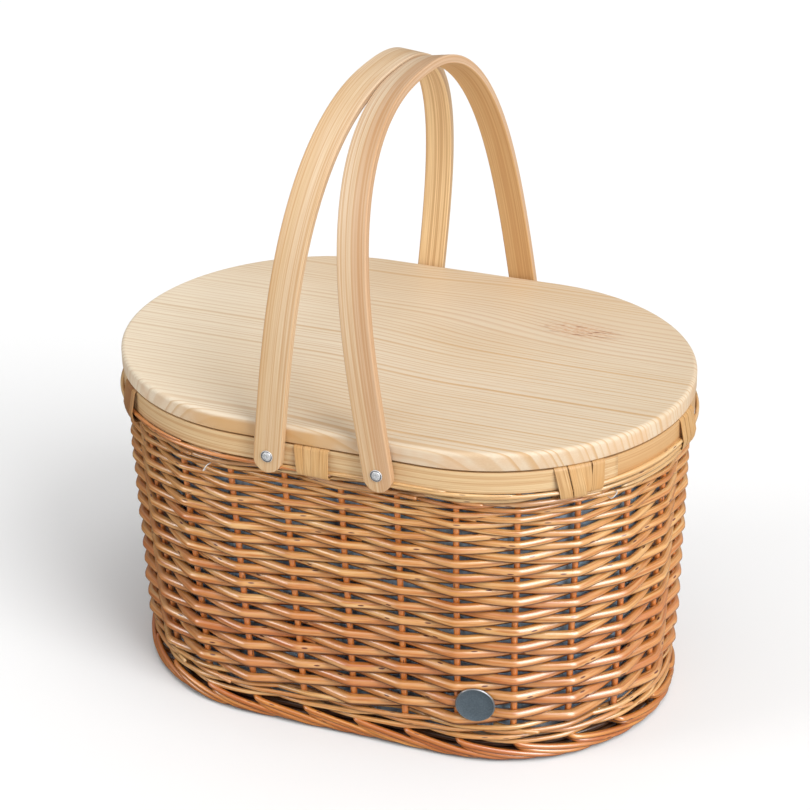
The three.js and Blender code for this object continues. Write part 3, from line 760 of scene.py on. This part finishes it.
def add_rim_rods():
    """Thin tapered rods packed under the hoop: they lie outside it, over its lower edge."""
    first_place, spacing, left_end, back_left = -4.2, 1.5, -1.3, 20
    way = np.linspace(0, 1, 28)
    radius = (0.5 + 1.15 * np.sin(math.pi * way) ** 0.6) * MM
    lap = np.interp(way, [0, 0.6, 1], [-0.2, 0, 1.1]) * MM
    for number, first in enumerate(np.arange(first_place, STAKE_COUNT + first_place, spacing), 1):
        place = first + (2.9 + random.uniform(-0.3, 0.3)) * way
        start, rise = random.uniform(-2.6, -1.0), random.uniform(0.4, 2.6)
        height = HOOP_BOTTOM + (start + rise * way) * MM
        line, out = wall_spots(stake_share(place), height, OUTSIDE_HOOP + radius + lap)
        line = behind_handles(line, out, radius)
        ruddy = first < left_end or first > back_left
        shade, tint = (WEAVER, 0.8) if ruddy else (RIM_ROD, random.uniform(0, 0.35))
        willow_rod("upper_wale", f"rim_rod_{number:02d}", line, out, radius, shade, tint)


def add_packed_rods():
    way = np.linspace(0, 1, 34)
    for number, (first, last, start, end, thick) in enumerate(PACKED_RODS, 1):
        height = HOOP_BOTTOM + (start + (end - start) * way) * MM
        radius = thick * MM * (0.3 + 0.7 * np.sin(math.pi * way) ** 0.5)
        line, out = wall_spots(stake_share(first + (last - first) * way), height, OUTSIDE_HOOP + 0.6 * radius)
        line = behind_handles(line, out, radius)
        willow_rod("upper_wale", f"packed_rod_{number}", line, out, radius, RIM_ROD, 0.3)


# A cut end comes out from behind a stake: places on from it, shares of the lean, and offsets in millimetres
TIP_ROUTE = [(-0.45, 0, -3.6), (-0.2, 0.4, 0), (0.05, 1, 4.6), (0.34, 1.4, 6.6)]


def add_tips(node, places, z, lean):
    """Cut ends of wale rods, which come out from behind a stake and stop on the outside."""
    way = curve_through(TIP_ROUTE, 6)
    radius = np.linspace(1.7, 1.45, len(way)) * MM
    for number, place in enumerate(places, 1):
        line, out = wall_spots(stake_share(place + way[:, 0]), z + lean * MM * way[:, 1], way[:, 2] * MM)
        willow_rod(node, f"{node}_tip_{number}", line, out, radius, THIN_ROD)


# The foot border has a strand of two rods for each stake. They come out beside it, sink past the next stakes
# and tuck in under the foot. A route counts stakes on from its own, with height and offset in millimetres.
UPPER_ROUTE = [
    (-0.05, 16.6, -5),
    (0.0, 16.2, -1),
    (0.05, 15.5, 3.6),
    (0.15, 14.6, 6),
    (0.45, 12.4, 6.6),
    (1, 8.6, 6.8),
    (1.5, 5.2, 6.5),
    (1.85, 3.2, 5),
    (2.1, 2.5, 1.8),
    (2.3, 2.5, -3),
]
LOWER_ROUTE = [
    (-0.03, 12.6, -5),
    (0.04, 12.2, -1),
    (0.12, 11.4, 3.4),
    (0.24, 10.4, 5.8),
    (0.5, 8.4, 6.9),
    (0.95, 4.9, 6.7),
    (1.3, 3, 5.2),
    (1.5, 2.5, 2.4),
    (1.7, 2.5, -3),
]
BORDER_RODS = [("upper", UPPER_ROUTE, 4.6 * MM), ("lower", LOWER_ROUTE, 4.2 * MM)]
# Rings inside the border, painted dark brown as the shade they lie in: offset and height in millimetres
FOOT_RINGS = [(-4.6, 2.9), (-9.4, 2.9), (-7.2, 7.4), (-9.6, 9.6)]
FOOT_RING_RADIUS = 2.4 * MM


def add_border():
    for index in range(STAKE_COUNT):
        for layer, route, thickness in BORDER_RODS:
            way = curve_through(route, 7)
            wobble = random.normal(0, 0.25, 2)
            radius = np.linspace(1.06, 0.92, len(way)) * thickness / 2
            height = np.maximum((way[:, 1] + wobble[0]) * MM, radius + 0.3 * MM)
            line, out = wall_spots(stake_share(index + way[:, 0]), height, (way[:, 2] + wobble[1]) * MM)
            name = f"border_rod_{index + 1:02d}_{layer}"
            willow_rod("foot_border", name, line, out, radius, FOOT_ROD)
    place = np.linspace(0, STAKE_COUNT, STAKE_COUNT * 8, endpoint=False)
    for number, (offset, z) in enumerate(FOOT_RINGS, 1):
        line, out = wall_spots(stake_share(place), z * MM, offset * MM)
        name = f"foot_ring_{number}"
        willow_rod("foot_border", name, line, out, FOOT_RING_RADIUS, SHADE_PAINTED_ROD, 0, closed=True)


# Rim


def add_hoop(name, outside, lap_share):
    """A bent strip whose tapered ends lap over each other."""
    steps, lap_gap = 260, 0.2 * MM
    length = track_length(RIM_STRAIGHT, outside)
    lap = lap_share * length
    distance = np.linspace(lap, lap + length + LAP_LENGTH, steps)
    first = np.clip((distance - lap) / LAP_LENGTH, 0, 1)
    last = np.clip((distance - lap - length) / LAP_LENGTH, 0, 1)
    room = HOOP_THICKNESS - LAP_TIP - lap_gap
    face = room * (1 - first)
    back = HOOP_THICKNESS - room * last
    line, out = track_spots(RIM_STRAIGHT, outside, distance)
    line = line - out * ((face + back) / 2)[:, None]
    line[:, 2] = (HOOP_BOTTOM + HOOP_TOP) / 2
    height = HOOP_TOP - HOOP_BOTTOM
    profiles = np.array([rounded_profile(height, thickness, WOOD_EDGE) for thickness in back - face])
    piece = sweep(f"{name}_strip", line, DOWN, out, profiles, HOOP_WOOD, tint=0.35)
    settle(piece, "basket", "bentwood", name)


def cane_loop(inside, outside, top, bottom):
    """The way of a strip round both hoops, as offset and height, and its outward directions."""
    corner, low_bulge, hoop_bulge = 2.5 * MM, 2.2 * MM, 3.4 * MM
    loop = rounded_profile(outside - inside, top - bottom, corner, steps=5)
    loop = np.concatenate([np.linspace(a, b, 5)[:-1] for a, b in zip(loop, np.roll(loop, -1, axis=0))])
    loop = loop + [(inside + outside) / 2, (top + bottom) / 2]
    bulge = np.interp(loop[:, 1], [bottom, HOOP_BOTTOM, HOOP_TOP], [low_bulge, hoop_bulge, 0])
    loop[:, 0] += bulge * np.clip((loop[:, 0] - inside) / (outside - inside), 0, 1)
    ahead = np.roll(loop, -1, axis=0) - np.roll(loop, 1, axis=0)
    return loop, unit(np.stack([ahead[:, 1], -ahead[:, 0]], axis=1))


def add_bindings():
    """Flat cane strips wound side by side round both hoops and the rods just below them."""
    inside = INNER_HOOP_RADIUS - HOOP_THICKNESS - RIM_RADIUS - CANE_THICKNESS
    outside = OUTER_HOOP_RADIUS - RIM_RADIUS + CANE_THICKNESS
    above_hoop, strip_step, cane_edge = 0.7 * MM, 0.3 * MM, 0.35 * MM
    for number, (place, strips, width, hang, *leans) in enumerate(BINDINGS, 1):
        loop, normal = cane_loop(inside, outside, HOOP_TOP + above_hoop, HOOP_BOTTOM - hang * MM)
        for strip in range(strips):
            shift = (strip - (strips - 1) / 2) * width * MM
            spot, out = wall_spots(stake_share(place) + shift / RIM_LENGTH, HOOP_TOP, 0)
            ahead = np.array([-out[1], out[0], 0])
            lean = np.interp(strip / (strips - 1), [0, 1], leans) + random.normal(0, 0.015)
            line = spot + loop[:, :1] * out + lean * np.maximum(HOOP_TOP - loop[:, 1:], 0) * ahead
            line = line + out * strip * strip_step
            line[:, 2] = loop[:, 1]
            outward = normal[:, :1] * out - normal[:, 1:] * DOWN
            strip_width = width * random.uniform(0.94, 1) * MM
            profile = rounded_profile(strip_width, CANE_THICKNESS, cane_edge, steps=2)
            name = f"cane_{number}_strip_{strip + 1}"
            tint = random.uniform(0, 1) if number in PALE_BINDINGS else random.uniform(1.4, 2.6)
            start = random.uniform(0, 9)
            piece = sweep(name, line, ahead, outward, profile, CANE, tint, closed=True, start=start)
            settle(piece, "basket", "cane", f"cane_binding_{number}")


# Liner


def add_liner():
    """Soft padded bag inside the wall: it billows between the stakes, creased by folds in all directions."""
    steps, rows, fold_count, fold_mean = 300, 44, 16, 0.64
    fold_limit, billow_size, eased_top, clearance = 1.0 * MM, 4.4 * MM, 20 * MM, 0.4 * MM
    low_inset, hoop_inset = 11 * MM, 7.2 * MM
    bottom, top = panel_high.z + FIT_GAP, HOOP_TOP - 0.5 * MM
    shares, heights = np.meshgrid(np.arange(steps) / steps, np.linspace(bottom, top, rows))
    folds = np.zeros(shares.shape)
    for _ in range(fold_count):
        angle = random.uniform(0, math.pi)
        turns = np.round(random.uniform(8, 46) * math.cos(angle))
        climb = random.uniform(30, 160) * math.sin(angle)
        folds += np.abs(np.sin(math.pi * turns * shares + climb * heights + random.uniform(0, 6))) - fold_mean
    folds = np.clip(folds * 0.3 * MM, -fold_limit, fold_limit)
    ease = np.clip((HOOP_TOP - heights) / eased_top, 0, 1)
    girth = shares * RIM_LENGTH
    bays = (girth - STAKE_START) / STAKE_SPACING
    billow = billow_size * np.abs(np.sin(math.pi * bays))
    near = np.interp(heights, [bottom, HOOP_BOTTOM, HOOP_TOP], [low_inset, hoop_inset, LINER_INSET])
    outer, _ = wall_spots(shares, heights, -near + (folds + billow) * ease - clearance)
    inner, _ = wall_spots(shares, heights, -LINER_INSET - LINER_THICKNESS + folds * ease)
    inner[0, :, 2] += LINER_THICKNESS
    points = np.concatenate([outer, inner[::-1]]).reshape(-1, 3)
    place = np.stack([girth, heights, 0 * girth], axis=2)
    grain = np.concatenate([place, place[::-1] + [0, 0.5, 0]]).reshape(-1, 3)
    faces = [face[::-1] for face in ring_faces(2 * rows, steps, False)]
    piece = mesh_piece("liner_cool_bag", points, faces, grain, FOIL)
    settle(piece, "basket", "liner", "liner_bag")


# A stitch goes over the weave: places on from its start, shares of its reach, and offsets in millimetres
TIE_ROUTE = [
    (0, -1.1, -10),
    (0, -1, 2),
    (0.01, -0.9, 5),
    (0.06, 0, 5.8),
    (0.11, 0.9, 5),
    (0.12, 1, 2),
    (0.12, 1.1, -10),
]
# The place of each stitch counted in stakes, then its height and its reach up and down in millimetres
TIES = [(-2.48, 219, 3.5), (4.55, 221, 2)]
THREAD_RADIUS = 0.36 * MM


def add_ties():
    """Short thread stitches that hold the liner to the weave."""
    way = curve_through(TIE_ROUTE, 5)
    for number, (place, z, reach) in enumerate(TIES, 1):
        line, out = wall_spots(stake_share(place + way[:, 0]), (z + reach * way[:, 1]) * MM, way[:, 2] * MM)
        piece = rod(f"liner_tie_{number}", line, out + [0, 0, 0.3], THREAD_RADIUS, THREAD)
        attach(piece, "basket")


# Lid, panel and battens


def oval_board(name, straight, radius, steps, tint):
    """An oval board from the underside up: steps give inset and height."""
    rings = np.array([track_ring(straight, radius - inset, z) for inset, z in steps])
    points = rings.reshape(-1, 3)
    return mesh_piece(name, points, ring_faces(len(steps), RING_STEPS, False), points, PINE, tint)


def add_lid():
    bottom, top, flat = lid_low.z, lid_high.z, 3 * MM
    steps = [(LID_ARRIS + flat, bottom)]
    for angle in np.linspace(-math.pi / 2, 0, 4):
        steps.append((LID_ARRIS * (1 - math.cos(angle)), bottom + LID_ARRIS * (1 + math.sin(angle))))
    for angle in np.linspace(0, math.pi / 2, 10):
        steps.append((LID_EDGE * (1 - math.cos(angle)), top - LID_EDGE * (1 - math.sin(angle))))
    steps.append((LID_EDGE + flat, top))
    settle(oval_board("lid_panel", RIM_STRAIGHT, LID_RADIUS, steps, 1), "lid", "pine", "lid_board")


def add_batten(node):
    """A straight strip under the lid with eased ends."""
    low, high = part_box(node)
    middle = (low + high) / 2
    size = high - low
    half, ease, edge = size.y / 2, 2 * MM, 1.5 * MM
    shares = (0.9, 1, 1, 0.9)
    line = np.array([(middle.x, middle.y + end, middle.z) for end in (-half, ease - half, half - ease, half)])
    profiles = np.array([rounded_profile(size.x * share, size.z * share, edge) for share in shares])
    settle(sweep(f"{node}_strip", line, RIGHT, DOWN, profiles, HANDLE_WOOD, 0), "lid", "pine", node)


def add_panel():
    edge, flat = 0.8 * MM, 2 * MM
    low, high = panel_low.z, panel_high.z
    steps = [(edge + flat, low), (edge, low), (0, low + edge)]
    steps += [(0, high - edge), (edge, high), (edge + flat, high)]
    radius = panel_high.y
    piece = oval_board("base_board", panel_high.x - radius, radius, steps, 0)
    settle(piece, "basket", "pine", "base_panel")


# Handles and their screws


def arch_line():
    """The middle line of a handle strip in its own plane, with the outward direction: depth, then height."""
    fine_steps, steps = 400, 150
    way = np.linspace(0, 1, fine_steps) ** 2
    angles = np.concatenate([way * math.pi / 2, math.pi - way[-2::-1] * math.pi / 2])
    depth = -np.sign(np.cos(angles)) * HANDLE_OUTSIDE * np.abs(np.cos(angles)) ** (2 / ARCH_SIDE_POWER)
    height = HANDLE_REACH * np.sin(angles) ** (2 / ARCH_TOP_POWER)
    length = np.concatenate([[0], np.cumsum(np.hypot(np.diff(depth), np.diff(height)))])
    even = np.linspace(0, length[-1], steps)
    outer = np.stack([np.interp(even, length, depth), np.interp(even, length, height)], axis=1)
    ahead = unit(np.gradient(outer, axis=0))
    ahead[0], ahead[-1] = (0, 1), (0, -1)
    out = np.stack([-ahead[:, 1], ahead[:, 0]], axis=1)
    return outer - out * HANDLE_THICKNESS / 2, out


def add_handle(side):
    """A bent strip with round ends, which leans in from its pivots until the two handles all but touch."""
    name = "handle_right" if side > 0 else "handle_left"
    half = HANDLE_WIDTH / 2
    arch, out = arch_line()
    drop = np.sin(np.radians([84, 76, 66, 54, 40, 24, 10]))
    foot = np.stack([np.full(len(drop), arch[0, 0]), -HANDLE_END_DROP - half * drop], axis=1)
    flat = np.concatenate([foot, arch, foot[::-1] * [-1, 1]])
    out = np.pad(out, ((len(drop), len(drop)), (0, 0)), mode="edge")
    end_width = 2 * half * np.sqrt(1 - drop**2)
    widths = np.concatenate([end_width, np.full(len(arch), HANDLE_WIDTH), end_width[::-1]])
    reach = math.hypot(HANDLE_REACH, half)
    span = PIVOT_X - side * HANDLE_MEETING_X - HANDLE_TIP_GAP / 2
    lean = math.asin(span / reach) - math.atan2(half, HANDLE_REACH)
    up = np.array([-side * math.sin(lean), 0, math.cos(lean)])
    across = np.array([math.cos(lean), 0, side * math.sin(lean)])
    pivot = np.array([side * PIVOT_X, 0, PIVOT_Z])
    line = pivot + flat[:, :1] * BACK + flat[:, 1:] * up
    outward = out[:, :1] * BACK + out[:, 1:] * up
    profiles = np.array([rounded_profile(width, HANDLE_THICKNESS, WOOD_EDGE) for width in widths])
    # The right handle is rosy, and the two have different stretches of grain
    tint = 0.7 if side > 0 else 0.0
    start = HANDLE_GRAIN_START if side > 0 else -HANDLE_GRAIN_START - HANDLE_LENGTH
    piece = sweep(f"{name}_strip", line, -across, outward, profiles, HANDLE_WOOD, tint, start=start)
    settle(piece, name, "bentwood", name)


# Radius and height round a screw's low head, in millimetres: a rim, a groove and a dome
SCREW_HEAD = [(4.6, 0), (4.6, 0.5), (4.45, 0.85), (4.2, 0.95), (4, 0.8), (3.85, 0.5), (3.65, 0.5)]
SCREW_HEAD += [(3.5, 0.95), (3.1, 1.3), (2.4, 1.52), (1.4, 1.66), (0.2, 1.7)]
SHANK_RADIUS = 2 * MM
CENTRE_HOLE = 0.2 * MM
BORE_RADIUS = 2.3 * MM
WASHER_RADIUS = 5 * MM
NUT_RADIUS = 4 * MM
NUT_THICKNESS = 2.6 * MM
NUT_BEVEL = 0.4 * MM


def add_pivot(place, x_side, y_side):
    """Screw with a low round head, a washer that spaces the handle off the hoop, and a hexagon nut inside."""
    screw, nut, washer = (f"pivot_{kind}_{place}" for kind in ("screw", "nut", "washer"))
    axis = (x_side * PIVOT_X, 0, PIVOT_Z)

    def turned(name, node, profile, **kind):
        piece = lathe(name, profile, axis, (0, y_side, 0), STEEL, **kind)
        settle(piece, "basket", "steel", node)

    nut_high = INNER_HOOP_RADIUS - HOOP_THICKNESS - FIT_GAP
    tail = nut_high - NUT_THICKNESS
    seat = HANDLE_OUTSIDE + 0.1 * MM
    profile = [(CENTRE_HOLE, tail), (SHANK_RADIUS, tail), (SHANK_RADIUS, seat)]
    profile += [(reach * MM, seat + height * MM) for reach, height in SCREW_HEAD]
    turned(f"{screw}_turned", screw, profile)
    low, high = OUTER_HOOP_RADIUS + FIT_GAP, HANDLE_OUTSIDE - HANDLE_THICKNESS - FIT_GAP
    profile = [(BORE_RADIUS, high), (BORE_RADIUS, low), (WASHER_RADIUS, low), (WASHER_RADIUS, high)]
    turned(f"{washer}_turned", washer, profile, ring=True)
    profile = [(BORE_RADIUS, nut_high), (BORE_RADIUS, tail), (NUT_RADIUS - NUT_BEVEL, tail)]
    profile += [(NUT_RADIUS, tail + NUT_BEVEL), (NUT_RADIUS, nut_high)]
    turned(f"{nut}_hexagon", nut, profile, sides=6, ring=True)


def add_disc():
    """The bare disc on the front, set against the weave."""
    spot, out = wall_spots(DISC_SHARE, DISC_HEIGHT, DISC_OFFSET)
    slope = math.atan2(RIM_RADIUS - FOOT_RADIUS, HOOP_BOTTOM)
    normal = Vector(out) * math.cos(slope) - Vector((0, 0, math.sin(slope)))
    rim = DISC_RADIUS
    low = DISC_THICKNESS - 0.45 * MM
    profile = [(CENTRE_HOLE, 0), (rim - 0.5 * MM, 0), (rim, 0.4 * MM), (rim, DISC_THICKNESS - 0.5 * MM)]
    profile += [(rim - 0.4 * MM, DISC_THICKNESS), (rim - 0.9 * MM, DISC_THICKNESS), (rim - 1.3 * MM, low)]
    profile += [(rim / 2, low + 0.1 * MM), (CENTRE_HOLE, low + 0.15 * MM)]
    settle(lathe("badge_plate", profile, spot, normal, SLATE, sides=64), "basket", "badge", "badge_disc")


# Stage


def add_stage():
    half_size, below_foot = 30, 0.05 * MM
    corners = np.array([(-1, -1, 0), (1, -1, 0), (1, 1, 0), (-1, 1, 0)], float) * half_size
    floor = mesh_piece("floor", corners - [0, 0, below_foot], [(0, 1, 2, 3)], corners, floor_finish())
    # Shiny rods would show the bright floor on their undersides
    floor.visible_glossy = False
    add_surroundings()
    add_light("key_low", 0.75, 36, (-0.86, 0.44, -0.24))
    add_light("key_middle", 1.4, 32, (-0.7, 0.36, -0.62))
    add_light("key_high", 0.75, 36, (-0.42, 0.22, -0.88))
    add_light("top", 0.46, 60, (0.1, 0.2, -1))
    add_light("fill", 0.6, 24, (0.76, 0.5, -0.45))
    bpy.context.scene.view_settings.view_transform = "Standard"


def add_surroundings():
    """White all round, brightest overhead and dim on the left, as beside a dark screen."""
    world = bpy.data.worlds.new("studio")
    world.use_nodes = True
    nodes = Nodes(world.node_tree)
    direction = nodes.node("ShaderNodeTexCoord", {}, "Generated")
    from_left = nodes.between(nodes.part(direction, "X"), -0.7, 0.7, 0.03, 0.28)
    from_below = nodes.between(nodes.part(direction, "Z"), 0, 0.9, 0.03, 0.34)
    # The backdrop itself is plain white in the picture
    seen = nodes.node("ShaderNodeLightPath", {}, "Is Camera Ray")
    strength = nodes.calc("MAXIMUM", nodes.calc("ADD", from_left, from_below), seen)
    backdrop = world.node_tree.nodes["Background"]
    nodes.feed(backdrop.inputs["Color"], (1, 1, 1, 1))
    nodes.feed(backdrop.inputs["Strength"], strength)
    bpy.context.scene.world = world


def add_light(name, strength, softness, direction):
    lamp = bpy.data.lights.new(name, "SUN")
    lamp.energy = strength
    lamp.angle = math.radians(softness)
    light = bpy.data.objects.new(name, lamp)
    light.rotation_euler = Vector(direction).to_track_quat("-Z", "Y").to_euler()
    bpy.context.scene.collection.objects.link(light)


def add_camera():
    """The photograph's view: turned to the right of the front, from above, with a slight roll."""
    azimuth, elevation, roll = math.radians(22.293), math.radians(26.634), -0.016615
    distance, target = 1.835748, (-0.00047, -0.00138, 0.219752)
    focal_pixels, image_pixels, sensor = 2369.063, 810, 36
    turns = ((azimuth, "Z"), (math.pi / 2 - elevation, "X"), (roll, "Z"))
    around, tilt, twist = (Matrix.Rotation(angle, 4, axis) for angle, axis in turns)
    data = bpy.data.cameras.new("photo_camera")
    data.sensor_width = sensor
    data.lens = focal_pixels * sensor / image_pixels
    camera = bpy.data.objects.new("photo_camera", data)
    aim = Matrix.Translation(target) @ around @ tilt @ twist
    camera.matrix_world = aim @ Matrix.Translation((0, 0, distance))
    bpy.context.scene.collection.objects.link(camera)
    bpy.context.scene.camera = camera


add_camera()
add_stage()
add_stakes()
add_weave()
add_wale("lower_wale", LOWER_WALE, 5, 3.8 * MM, 3.4 * MM, THIN_ROD)
add_wale("upper_wale", UPPER_WALE, 3, 3.8 * MM, 2.4 * MM, RIM_ROD)
add_tips("upper_wale", [-3.0, 1.05, 2.1, 4.0, 9.0, 15.0, 20.0], 227 * MM, 1)
add_tips("lower_wale", [-3.85, -2.75, 3.1, 5.0, 11.0, 16.0, 21.0], 28.5 * MM, -2)
add_filler("lower_filler_1", (5, 23.35), 0, False)
add_filler("lower_filler_2", (22.6, 26.4), 0, False)
add_filler("upper_filler_1", (0.6, 12.3), WEAVE_ROWS - 2, True)
add_filler("upper_filler_2", (11.7, 22.4), WEAVE_ROWS - 2, True)
add_rim_rods()
add_packed_rods()
add_border()
add_hoop("outer_hoop", OUTER_HOOP_RADIUS, OUTER_LAP_SHARE)
add_hoop("inner_hoop", INNER_HOOP_RADIUS, INNER_LAP_SHARE)
add_bindings()
add_liner()
add_ties()
add_lid()
add_batten("lid_batten_left")
add_batten("lid_batten_right")
add_panel()
add_handle(-1)
add_handle(1)
for front_or_back, y_side in (("front", -1), ("back", 1)):
    for left_or_right, x_side in (("left", -1), ("right", 1)):
        add_pivot(f"{front_or_back}_{left_or_right}", x_side, y_side)
add_disc()
